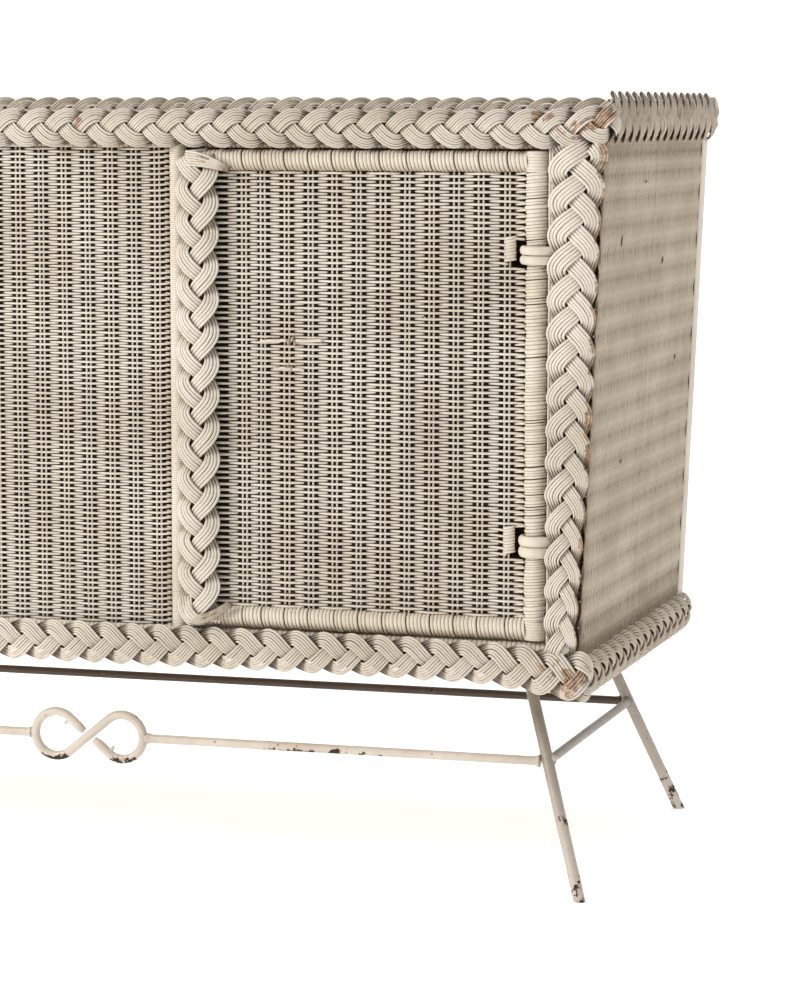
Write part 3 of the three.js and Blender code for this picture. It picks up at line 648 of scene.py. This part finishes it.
def make_door(side, s):
    body = f"door_{side}"
    # the woven panel
    g = Geo()
    at0 = panel_flat(-240.0)
    at = lambda u, v, w: at0(s * u, v, w)
    stakes = np.array(DOOR_STAKES)
    notch = ((342.5, 371.8), (631.6, 658.2))

    def end_of(v):
        for a, b in notch:
            if a < v < b:
                return 154.0, 469.0
        return 154.0, 487.4

    weave(g, at, (0, -1, 0), 154.0, 487.4, 282.9, 723.6, stakes, 4.7, 1.25, 1.24, 3.0, 2.6, k=6,
          end_of=end_of, pull=0.38, sway=0.34, crisp=True, power=1.2)
    # the wrapped stake beside each notch, and the mended rows where a handle was
    for a, b in notch:
        wound(g, (s * 470.6, -240.6, a + 5), (s * 470.6, -240.6, b + 3), 3.6, 3.0, k=14, groove=0.4, wide=1.7, rough=0.6)
    if side == "right":
        for z, x0, x1, ww in ((553.6, 212.0, 240.0, 3.6), (554.4, 250.0, 277.0, 3.7), (525.6, 226.0, 244.0, 3.2), (524.8, 246.0, 258.0, 3.0)):
            u = np.linspace(x0, x1, 16)
            P = at(u, z + smooth_noise(16, 5, RNG, 0.35), ww + 0.4 * np.sin(np.linspace(0, np.pi, 16)))
            g.tubes(P, (0, -1, 0), 1.75, k=8, deep=0.08)
        for z, x in ((553.0, 242.0), (555.5, 245.5), (552.2, 248.5), (525.5, 244.5), (527.5, 241.0)):
            P = at(np.array([x - 1, x, x + 1.0]), np.array([z - 2.6, z, z + 2.4]), np.array([2.6, 4.4, 2.6]))
            g.tubes(P, (1, 0, 0), 1.2, k=6, deep=0.3, wear=0.9)
    g.build(f"vis_door_{side}_panel", WEAVE, "weave_paint", body, f"door_{side}_panel")
    # rails and stiles
    x0, x1 = DOOR_FREE_X + 8, DOOR_AXIS_X - 8
    ties = [x - x0 for x in DOOR_STAKES]
    g = Geo()
    # the rails darken on their undersides: painted shade
    wound(g, mx(x0, DOOR_AXIS_Y, RAIL_TOP_Z, s), mx(x1, DOOR_AXIS_Y, RAIL_TOP_Z, s), 10.5, 4.1, ties=ties, k=26, groove=0.85, rough=1.2, underside_shade=0.26, dirt_and_shade=0.05)
    g.build(f"vis_door_{side}_rail_top", WRAP, "pole_wrap", body, f"door_{side}_rail_top")
    g = Geo()
    wound(g, mx(x0, DOOR_AXIS_Y, RAIL_LOW_Z, s), mx(x1, DOOR_AXIS_Y, RAIL_LOW_Z, s), 11.2, 4.1, ties=ties, k=26, groove=0.95, rough=1.6, underside_shade=0.42, dirt_and_shade=0.05)
    g.build(f"vis_door_{side}_rail_bottom", WRAP, "pole_wrap", body, f"door_{side}_rail_bottom")
    g = Geo()
    wound(g, (s * DOOR_AXIS_X, DOOR_AXIS_Y, DOOR_Z0 + 19), (s * DOOR_AXIS_X, DOOR_AXIS_Y, DOOR_Z1 - 21), 11.7, 3.2, k=28,
          groove=1.15, jitter=0.42, rough=2.4, ties=RNG.uniform(10, 420, 16), narrow=((643.0 - DOOR_Z0 - 19, 15.0, 1.35), (355.8 - DOOR_Z0 - 19, 17.0, 1.35)))
    # plain binding at both ends
    for z0, z1 in ((DOOR_Z0, DOOR_Z0 + 19.5), (DOOR_Z1 - 21.5, DOOR_Z1)):
        n = 29
        z = np.linspace(z0, z1, n)
        r = 12.0 - 0.34 * (np.arange(n) % 4 == 0) + smooth_noise(n, 4, RNG, 0.1)
        r[[0, -1]] = 9.2
        r[[1, -2]] = 11.2
        P = np.stack([np.full(n, s * DOOR_AXIS_X), np.full(n, DOOR_AXIS_Y), z], 1)
        # every fourth turn is darkened in its groove: painted shade
        dz = (0.22 * (np.arange(n) % 4 == 0) + 0.1)[:, None] + 0 * np.zeros(28)[None]
        g.tubes(P, (0, -1, 0), r, k=28, deep=dz[None], rnd=0.6)
    g.build(f"vis_door_{side}_stile_hinge", WRAP, "pole_wrap", body, f"door_{side}_stile_hinge")
    g = Geo()
    wound(g, (s * DOOR_FREE_X, DOOR_AXIS_Y, DOOR_Z0), (s * DOOR_FREE_X, DOOR_AXIS_Y, DOOR_Z1), 10.5, 4.0, k=22)
    g.build(f"vis_door_{side}_stile_free", WRAP, "pole_wrap", body, f"door_{side}_stile_free")
    # the plait down the free edge; chevrons point down
    g = Geo()
    P, T = line_path((s * 148.5, -BRAID_Y - 0.4, DOOR_Z0 + 6), (s * 148.5, -BRAID_Y - 0.4, DOOR_Z1 - 8), 2.5)
    n = len(P)
    plait(g, P, T, np.broadcast_to([s * 1.0, 0, 0], P.shape), np.broadcast_to([0, -1.0, 0], P.shape), 47.5, 32.4,
          reeds=5, d=3.2, B=3.2, sign=1, phase=1.26, curl=46.0)
    # the bundle bound over the top corner, and the small one below
    for j in range(6):
        t = np.linspace(0, 1, 26)
        x = 138.5 + 46 * t - 0.5 * j
        z = (742.6 - 2.7 * j) * (1 - t) + (722.4 + 0.7 * (5 - j)) * t + (15.0 - 1.2 * j) * t * (1 - t)
        y = -255.2 - 5.4 * np.sin(np.pi * (0.10 + 0.78 * t)) - 0.25 * j * (1 - t) + 4.0 * t**3
        # the strands darken along their sides and towards the end that tucks under: painted shade
        g.tubes(np.stack([s * x, y, z], 1), (0, -1, 0), 1.5 - 0.35 * t, k=8,
                deep=lambda V, t=t: np.clip(EDGE_SHADE[None] + 0.12 + 0.5 * np.clip((t[:, None] - 0.72) / 0.28, 0, 1), 0, 1)[None],
                wear=spots((s * 160, -258, 740, 12, 1.0), (s * 181, -258, 726, 8, 1.0)))
    A, B, C = np.array([129.0, 292.0]), np.array([134.0, 244.0]), np.array([184.5, 284.5])
    for j in range(5):
        t = np.linspace(0, 1, 26)[:, None]
        q = (1 - t) ** 2 * A + 2 * t * (1 - t) * B + t**2 * C
        d = unit(np.gradient(q, axis=0))
        q = q + np.stack([-d[:, 1], d[:, 0]], 1) * (2.95 * j) * (1 - 0.55 * t)
        y = -254.6 - 4.4 * np.sin(np.pi * (0.1 + 0.8 * t[:, 0]))
        # these strands darken along their sides and towards their far ends: painted shade
        g.tubes(np.stack([s * q[:, 0], y, np.maximum(q[:, 1], 262.4)], 1), (0, -1, 0), 1.5 - 0.4 * t[:, 0], k=8,
                deep=lambda V, t=t: np.clip(EDGE_SHADE[None] + 0.14 + 0.35 * np.clip((t - 0.4) / 0.6, 0, 1), 0, 1)[None],
                wear=spots((s * 166, -258, 272, 18, 1.0)))
    g.build(f"vis_door_{side}_braid", BRAID, "braid_paint", body, f"door_{side}_braid")


def make_rings():
    for side, s in SIDES:
        for j, (z, h) in enumerate(((647.7, 4.5), (638.3, 4.5), (361.2, 5.3), (350.3, 5.3))):
            g = Geo()
            half_t = 3.1
            c0, c1 = np.array([DOOR_AXIS_X, DOOR_AXIS_Y]), np.array([518.3, -232.0])
            r0, r1 = 10.5 + 0.5 + half_t, 7.5 + 0.4 + half_t
            d = c1 - c0
            base = math.atan2(d[1], d[0])
            spread = math.acos((r0 - r1) / np.linalg.norm(d))
            a0 = base + spread + (2 * math.pi - 2 * spread) * np.linspace(0, 1, 40)
            a1 = base - spread + 2 * spread * np.linspace(0, 1, 18)[1:-1]
            XY = np.concatenate([c0 + r0 * np.stack([np.cos(a0), np.sin(a0)], 1), c1 + r1 * np.stack([np.cos(a1), np.sin(a1)], 1)])
            XY = XY + 0.0
            n = len(XY)
            zz = z + 0.25 * np.sin(np.linspace(0, 2 * np.pi, n))
            P = np.stack([s * XY[:, 0], XY[:, 1], zz], 1)
            rr = half_t * (1 + 0.02 * np.sin(np.linspace(0, 8 * np.pi, n)))
            g.tubes(P, (0, 0, 1), h, rr, k=14, closed=True, deep=0.0, rnd=0.2)
            g.build(f"vis_hinge_ring_{side}_{j + 1}", WRAP, "pole_wrap", "cabinet", f"hinge_ring_{side}_{j + 1}")


def make_panels():
    g = Geo()
    at = panel_flat(-240.0)
    stakes = np.linspace(-101.2, 101.2, 9)
    weave(g, at, (0, -1, 0), -114.6, 114.6, 246.0, 757.0, stakes, 4.7, 1.25, 1.19, 2.78, 2.6, k=6, pull=0.3, sway=0.3, crisp=True, power=1.2)
    g.build("vis_panel_centre", WEAVE, "weave_paint", "cabinet", "panel_centre")
    slope = math.atan(23.0 / 511.0)
    for side, s in SIDES:
        g = Geo()
        nrm = np.array([s * math.cos(slope), 0, -math.sin(slope)])

        def at(u, v, w, s=s, nrm=nrm):
            z = u
            base = np.stack([s * (side_x(z) - 3.2) + 0 * w, v + 0 * w, z + 0 * w], -1)
            return base + nrm * np.asarray(w)[..., None]

        stakes = np.array([695.5 - 26.15 * j for j in range(17, -1, -1)] + [720.6, 740.8])
        weave(g, at, nrm, 228.0, 775.4, -249.6, 211.6, stakes, 0, 1.2, 1.5, 3.1, 0.85, per=5, k=6, flat=1.25, sway=0.55,
              power=1.0, stake_over=0.5, deep_gain=0.3, bulge=0.95, stake_w=-2.0,
              shade=lambda V: 0.10 + 0.3 * np.exp(-((V[..., 2] - 250) / 26.0) ** 2) + 0.16 * np.exp(-((V[..., 1] + 252) / 16.0) ** 2) + 0.22 * np.exp(-((V[..., 2] - 772) / 42.0) ** 2))
        # a near-black strip along the back edge, in the gap to the rear batten: painted shade
        g.tubes(np.stack([np.full(30, s * 1.0) * (side_x(np.linspace(250, 750, 30)) - 3.0), np.full(30, 212.9), np.linspace(250, 750, 30)], 1),
                nrm, 1.6, 0.9, k=6, deep=1.0)
        for z, y, h in ((655, -168, 6), (712, -70, 1.6), (628, 30, 4), (520, 120, 3), (430, -120, 2)):
            g.tubes(np.stack([s * (side_x(np.linspace(z - h, z + h, 6)) + 0.1), np.linspace(y - 1.6, y + 1.6, 6), np.linspace(z - h, z + h, 6)], 1),
                    nrm, np.array([0.2, 0.6, 0.75, 0.75, 0.6, 0.2]), k=6, deep=1.0)
        g.build(f"vis_panel_side_{side}", SIDE, "weave_paint", "cabinet", f"panel_side_{side}")
    # back
    g = Geo()
    at0 = panel_flat(234.5, -1)
    end = lambda z: side_x(z) - 21.6
    stakes = np.linspace(-504, 504, 40)

    def end_of(v):
        return -end(v), end(v)

    u_lim = side_x(757) - 21.6
    weave(g, at0, (0, 1, 0), -u_lim, u_lim, 247.5, 756.0, stakes, 5.0, 1.3, 1.6, 3.55, 2.0, per=3, k=5, end_of=end_of, sway=0.3,
          flat=1.45, power=1.1, deep_gain=0.7)
    g.build("vis_panel_back", SIDE, "weave_paint", "cabinet", "panel_back")
    # top
    g = Geo()
    at1 = lambda u, v, w: np.stack([u + 0 * w, v + 0 * w, 779.8 + w], -1)
    stakes = np.linspace(-556, 556, 43)
    weave(g, at1, (0, 0, 1), -570.0, 570.0, -249.4, 249.4, stakes, 0, 1.9, 1.7, 3.45, 1.75, per=3, k=5, flat=1.16, sway=0.35,
          power=1.0, stake_over=0.2, deep_gain=0.5)
    g.build("vis_panel_top", SIDE, "weave_paint", "cabinet", "panel_top")
    # floor boards
    g = Geo()
    x = side_x(230) - 6.8
    for j in range(5):
        y0, y1 = -228.2 + j * 91.3, -228.2 + (j + 1) * 91.3
        n = 40
        P = np.stack([np.linspace(-x, x, n), np.full(n, (y0 + y1) / 2), np.full(n, 234.2) + smooth_noise(n, 9, RNG, 0.1)], 1)
        g.tubes(P, (0, 0, 1), 5.0 * 1.4, (y1 - y0) / 2 * 1.4, k=4, rnd=RNG.random(), deep=0.05)
        V = g.v[-1]
        V[:, 2] = np.clip(V[:, 2], 229.3, 239.1)
        V[:, 1] = np.clip(V[:, 1], y0 + 0.5, y1 - 0.5)
    g.build("vis_panel_floor", BOARD, "floor_board", "cabinet", "panel_floor")


def make_frame_poles():
    z0, z1 = 247.4, 755.6
    for side, s in SIDES:
        g = Geo()
        wound(g, (s * 123.6, -240, z0), (s * 123.6, -240, z1), 8.5, 2.1, k=20, groove=0.35, jitter=0.1, rough=0.6)
        g.build(f"vis_centre_post_{side}", WRAP, "pole_wrap", "cabinet", f"centre_post_{side}")
        g = Geo()
        # the hinge post is darkened a little: painted shade behind the corner plait
        wound(g, (s * 518.3, -232, z0), (s * 518.3, -232, z1), 7.5, 4.0, k=16, dirt_and_shade=0.2)
        g.build(f"vis_hinge_post_{side}", WRAP, "pole_wrap", "cabinet", f"hinge_post_{side}")
        g = Geo()
        p = lambda z: (s * (side_x(z) - 6 - 7.2 - 0.4), -241.5, z)
        # the front corner post is darkened: painted shade behind the corner plait
        wound(g, p(z0), p(z1), 7.1, 4.4, k=14, dirt_and_shade=0.6)
        g.build(f"vis_corner_post_front_{side}", WRAP, "pole_wrap", "cabinet", f"corner_post_front_{side}")
        # rear batten, painted smooth, a flat rounded bar
        g = Geo()
        n = 80
        z = np.linspace(z0, z1, n)
        P = np.stack([s * (side_x(z) - 10.5), np.full(n, 226.5), z], 1)
        wob = smooth_noise(n, 8, RNG, 0.12)
        g.tubes(P, (1, 0, 0), 10.0 * 1.3 + wob, 12.5 * 1.3 + wob, k=24, deep=0.03, rnd=0.25)
        V = g.v[-1].reshape(n, 24, 3)
        c = P[:, None]
        D = V - c
        D[..., 0] = np.clip(D[..., 0], -10.0, 10.0)
        D[..., 1] = np.clip(D[..., 1], -12.4, 12.4)
        g.v[-1] = (c + D).reshape(-1, 3).astype(np.float32)
        g.build(f"vis_corner_post_rear_{side}", WRAP, "pole_wrap", "cabinet", f"corner_post_rear_{side}")
    for name, y in (("front", -239), ("back", 239)):
        for lev, z, k in (("top", 766, 10), ("bottom", 237, 10)):
            x = side_x(z - 10) - 6.6
            g = Geo()
            if name == "front":
                zc, wide = (759.6, 1.38) if lev == "top" else (246.8, 1.30)
                # the top front rail is darkened: painted shade under the top braid
                wound(g, (-x, y, zc), (x, y, zc), 9.9, 5.0, k=18, groove=0.5, wide=wide, dirt_and_shade=0.35 if lev == "top" else 0.02, rough=0.6)
            else:
                wound(g, (-x, y, z), (x, y, z), 9.9, 4.3, k=20, groove=0.9)
            g.build(f"vis_rail_{lev}_{name}", WRAP, "pole_wrap", "cabinet", f"rail_{lev}_{name}")


# ================================================================== plaited edgings
def make_braids():
    U, out = np.array([0, 0, 1.0]), None
    # the front top edging turns back a little at both corners
    def level_braid(name, pts, zc, W, L, sign, node, phase=0.0, reeds=6, d=3.35, B=3.0, curl=26.0, lift=None, wear=0.0, step=2.6, dirt_and_shade=0.0, dark=1.0, paint=None, core=0.62, upper_shade=0.0):
        g = Geo()
        P, T = corner_path(pts, 11.0, step)
        if lift is not None:
            P = P + np.array([0, 0, 1.0]) * lift(P)[:, None]
        Th = unit(T * np.array([1, 1, 0]))
        N = np.cross(Th, U)
        N = unit(N)
        Ub = np.broadcast_to(U, P.shape)
        if callable(W):
            W = W(P)
            d = d * (W / W.min()) ** 0.7
        if callable(dirt_and_shade):
            dirt_and_shade = dirt_and_shade(P)[:, None]
        plait(g, P, T, Ub, N, W, L, reeds=reeds, d=d, B=B, sign=sign, phase=phase, curl=curl, wear=wear, dirt_and_shade=dirt_and_shade, dark=dark, core=core, upper_shade=upper_shade)
        g.build("vis_" + node, paint or BRAID, "braid_paint", "cabinet", node)

    y = BRAID_Y
    rub = spots((545, -y, 772, 26, 1.0), (570, -y, 782, 16, 0.9), (20, -y, 780, 22, 0.9), (-555, -y, 770, 26, 0.8), (505, -y, 779, 18, 0.8), (330, -y, 784, 16, 0.6))
    level_braid("top_front", [(-577, -240, 766), (-577, -y, 766), (577, -y, 766), (577, -240, 766)], 765.8, 41.0, 30.1, 1, "braid_top_front",
                phase=1.4, reeds=6, d=2.55, wear=rub, curl=34.0, dark=1.3, paint=FRONT,
                dirt_and_shade=lambda P: 0.07 + 0.3 * np.exp(-(((np.abs(P[:, 0]) - 574) / 10.0) ** 2)) + 0.08 * np.exp(-(((np.abs(P[:, 0]) - 540) / 22.0) ** 2)), lift=lambda P: 9.0 * np.exp(-(((np.abs(P[:, 0]) - 585) / 26.0) ** 2)))
    level_braid("top_back", [(576, 240, 778.5), (576, y, 778.5), (-576, y, 778.5), (-576, 240, 778.5)], 778.5, 42.0, 27.4, 1, "braid_top_back",
                phase=0.4, reeds=6, d=2.6, curl=60.0, dirt_and_shade=0.04, dark=0.9)
    for side, s in SIDES:
        pts = [(s * 576.5, -247, 777.5), (s * 576.5, 247, 777.5)]
        if s < 0:
            pts = pts[::-1]
        # these braids are darker, more so towards the upper edge: painted shade
        level_braid(f"top_{side}", pts, 777.5, 55, 32.5, 1 if s > 0 else -1, f"braid_top_{side}", phase=0.2, reeds=6, d=2.55, B=3.3, curl=38.0, dirt_and_shade=0.10, dark=1.35, paint=SIDE_BRAID_SHADED, core=0.8, upper_shade=0.2,
                    wear=spots((s * 578, -240, 785, 30, 0.6)))
    low = spots((548, -y, 222, 26, 0.9), (520, -y, 236, 22, 0.8), (-550, -y, 222, 26, 0.8), (300, -y, 228, 20, 0.7), (170, -y, 224, 16, 0.7))
    drop = lambda P: -2.6 * np.clip((np.abs(P[:, 0]) - 330) / 160, 0, 1) - 6.5 * np.clip((np.abs(P[:, 0]) - 455) / 70, 0, 1) - 3.0 * np.exp(-(((np.abs(P[:, 0]) - 556) / 26.0) ** 2))
    level_braid("bottom_front", [(-555, -240, 240), (-555, -y, 240), (555, -y, 240), (555, -240, 240)], 240, lambda P: 45.5 + 9.5 * np.clip((np.abs(P[:, 0]) - 450) / 85, 0, 1), 29.45, -1, "braid_bottom_front",
                phase=2.12, reeds=6, d=2.65, wear=low, lift=drop, curl=42.0, dirt_and_shade=0.04, dark=1.15, paint=FRONT)
    for side, s in SIDES:
        pts = [(s * 554, -247, 226), (s * 554, 243, 226), (s * 549, 252, 226)]
        if s < 0:
            pts = pts[::-1]
        level_braid(f"bottom_{side}", pts, 226, 46, 32.5, -1 if s > 0 else 1, f"braid_bottom_{side}", phase=0.2, reeds=5, d=3.0, B=3.2, curl=24.0, dirt_and_shade=0.06, dark=1.35, paint=LOW)
    # the tapered corner plaits; chevrons point up
    for side, s in SIDES:
        g = Geo()
        z = np.linspace(251.0, 752.0, 200)
        left = 509.4
        W = np.interp(z, [251, 284, 350, 434, 500, 600, 676, 736, 748], [34, 35, 39, 46, 49, 52, 56, 62, 63])
        P = np.stack([s * (left + W / 2), -BRAID_Y + 4.0 * np.clip((264 - z) / 12, 0, 1) + 3.0 * np.clip((z - 740) / 12, 0, 1), z], 1)
        T = unit(np.gradient(P, axis=0))
        d = np.clip(W / 17.0, 2.3, 3.3)
        plait(g, P, np.broadcast_to([0, 0, 1.0], P.shape), np.broadcast_to([s * 1.0, 0, 0], P.shape),
              np.broadcast_to([0, -1.0, 0], P.shape), W, CORNER_L, reeds=6, d=d, B=3.1, sign=-1, phase=CORNER_PHASE, curl=60.0, shift=3.0,
              wear=lambda V, s=s: np.clip(1.0 * np.exp(-((s * V[..., 0] - (side_x(V[..., 2]) - 3)) / 8.0) ** 2) * (V[..., 1] > -258.5), 0, 1))
        # the straight reeds behind the loops, between the hinge rings
        for z0, z1 in ((251.0, 343.0), (368.5, 631.5), (654.5, 752.0)):
            for off, r in ((2.2, 1.5), (5.0, 1.5)):
                m = max(int((z1 - z0) / 8), 4)
                x = left + off + smooth_noise(m, 6, RNG, 0.12)
                g.tubes(np.stack([s * x, np.full(m, -245.6), np.linspace(z0, z1, m)], 1), (0, -1, 0), r, k=7, deep=0.1, rnd=0.4)
        g.build(f"vis_braid_corner_{side}", BRAID, "braid_paint", "cabinet", f"braid_corner_{side}")


make_stand()
for _side, _s in SIDES:
    make_door(_side, _s)
make_rings()
make_panels()
make_frame_poles()
make_braids()


# ================================================================== stage, light, camera
def stage():
    n = 24
    prof = [(-30.0, 0.0)] + [(3.2 + 2.4 * math.sin(t), 2.4 - 2.4 * math.cos(t)) for t in np.linspace(0, math.pi / 2, n)] + [(5.6, 7.0)]
    verts, faces = [], []
    for x in (-30.0, 30.0):
        verts += [(x, y, z - 0.0005) for y, z in prof]
    m = len(prof)
    for i in range(m - 1):
        faces.append((i, m + i, m + i + 1, i + 1))
    me = bpy.data.meshes.new("floor")
    me.from_pydata(verts, [], faces)
    me.polygons.foreach_set("use_smooth", [True] * len(me.polygons))
    ob = bpy.data.objects.new("floor", me)
    bpy.context.scene.collection.objects.link(ob)
    mat = bpy.data.materials.new("floor")
    mat.use_nodes = True
    p = mat.node_tree.nodes["Principled BSDF"]
    p.inputs["Base Color"].default_value = (0.93, 0.925, 0.915, 1)
    p.inputs["Roughness"].default_value = 0.9
    p.inputs["Emission Color"].default_value = (1, 1, 1, 1)
    p.inputs["Emission Strength"].default_value = 0.46
    me.materials.append(mat)


def area(name, loc, target, size, power, colour=(1, 1, 1)):
    li = bpy.data.lights.new(name, "AREA")
    li.shape = "RECTANGLE"
    li.size, li.size_y = size
    li.energy = power
    li.color = colour
    ob = bpy.data.objects.new(name, li)
    ob.location = loc
    ob.rotation_euler = (Vector(target) - Vector(loc)).to_track_quat("-Z", "Y").to_euler()
    bpy.context.scene.collection.objects.link(ob)


stage()
area("key", (-2.6, -3.0, 2.6), (0.1, 0, 0.45), (1.8, 1.5), 150, (1.0, 0.992, 0.975))
area("top", (0.2, 0.3, 3.6), (0, 0, 0), (4.5, 3.5), 50)
area("fill", (3.4, -2.2, 1.6), (0.3, 0, 0.4), (2.0, 2.0), 10)
world = bpy.data.worlds.new("world")
world.use_nodes = True
world.node_tree.nodes["Background"].inputs[0].default_value = (1, 1, 1, 1)
world.node_tree.nodes["Background"].inputs[1].default_value = 0.34
bpy.context.scene.world = world
bpy.context.scene.view_settings.view_transform = "Standard"

YAW, PITCH, ROLL = math.radians(16.56), math.radians(6.57), math.radians(0.08)
cam = bpy.data.cameras.new("camera")
cam.lens, cam.sensor_width = 122.29, 36.0
cam.clip_start, cam.clip_end = 0.1, 50
camera = bpy.data.objects.new("camera", cam)
look = Vector((-math.sin(YAW) * math.cos(PITCH), math.cos(YAW) * math.cos(PITCH), -math.sin(PITCH)))
right = Vector((math.cos(YAW), math.sin(YAW), 0))
up = right.cross(look)
r2 = right * math.cos(ROLL) + up * math.sin(ROLL)
u2 = up * math.cos(ROLL) - right * math.sin(ROLL)
rot = Matrix((r2, u2, -look)).transposed()
camera.matrix_world = Matrix.Translation((1.3193, -3.4739, 0.7853)) @ rot.to_4x4()
bpy.context.scene.collection.objects.link(camera)
bpy.context.scene.camera = camera
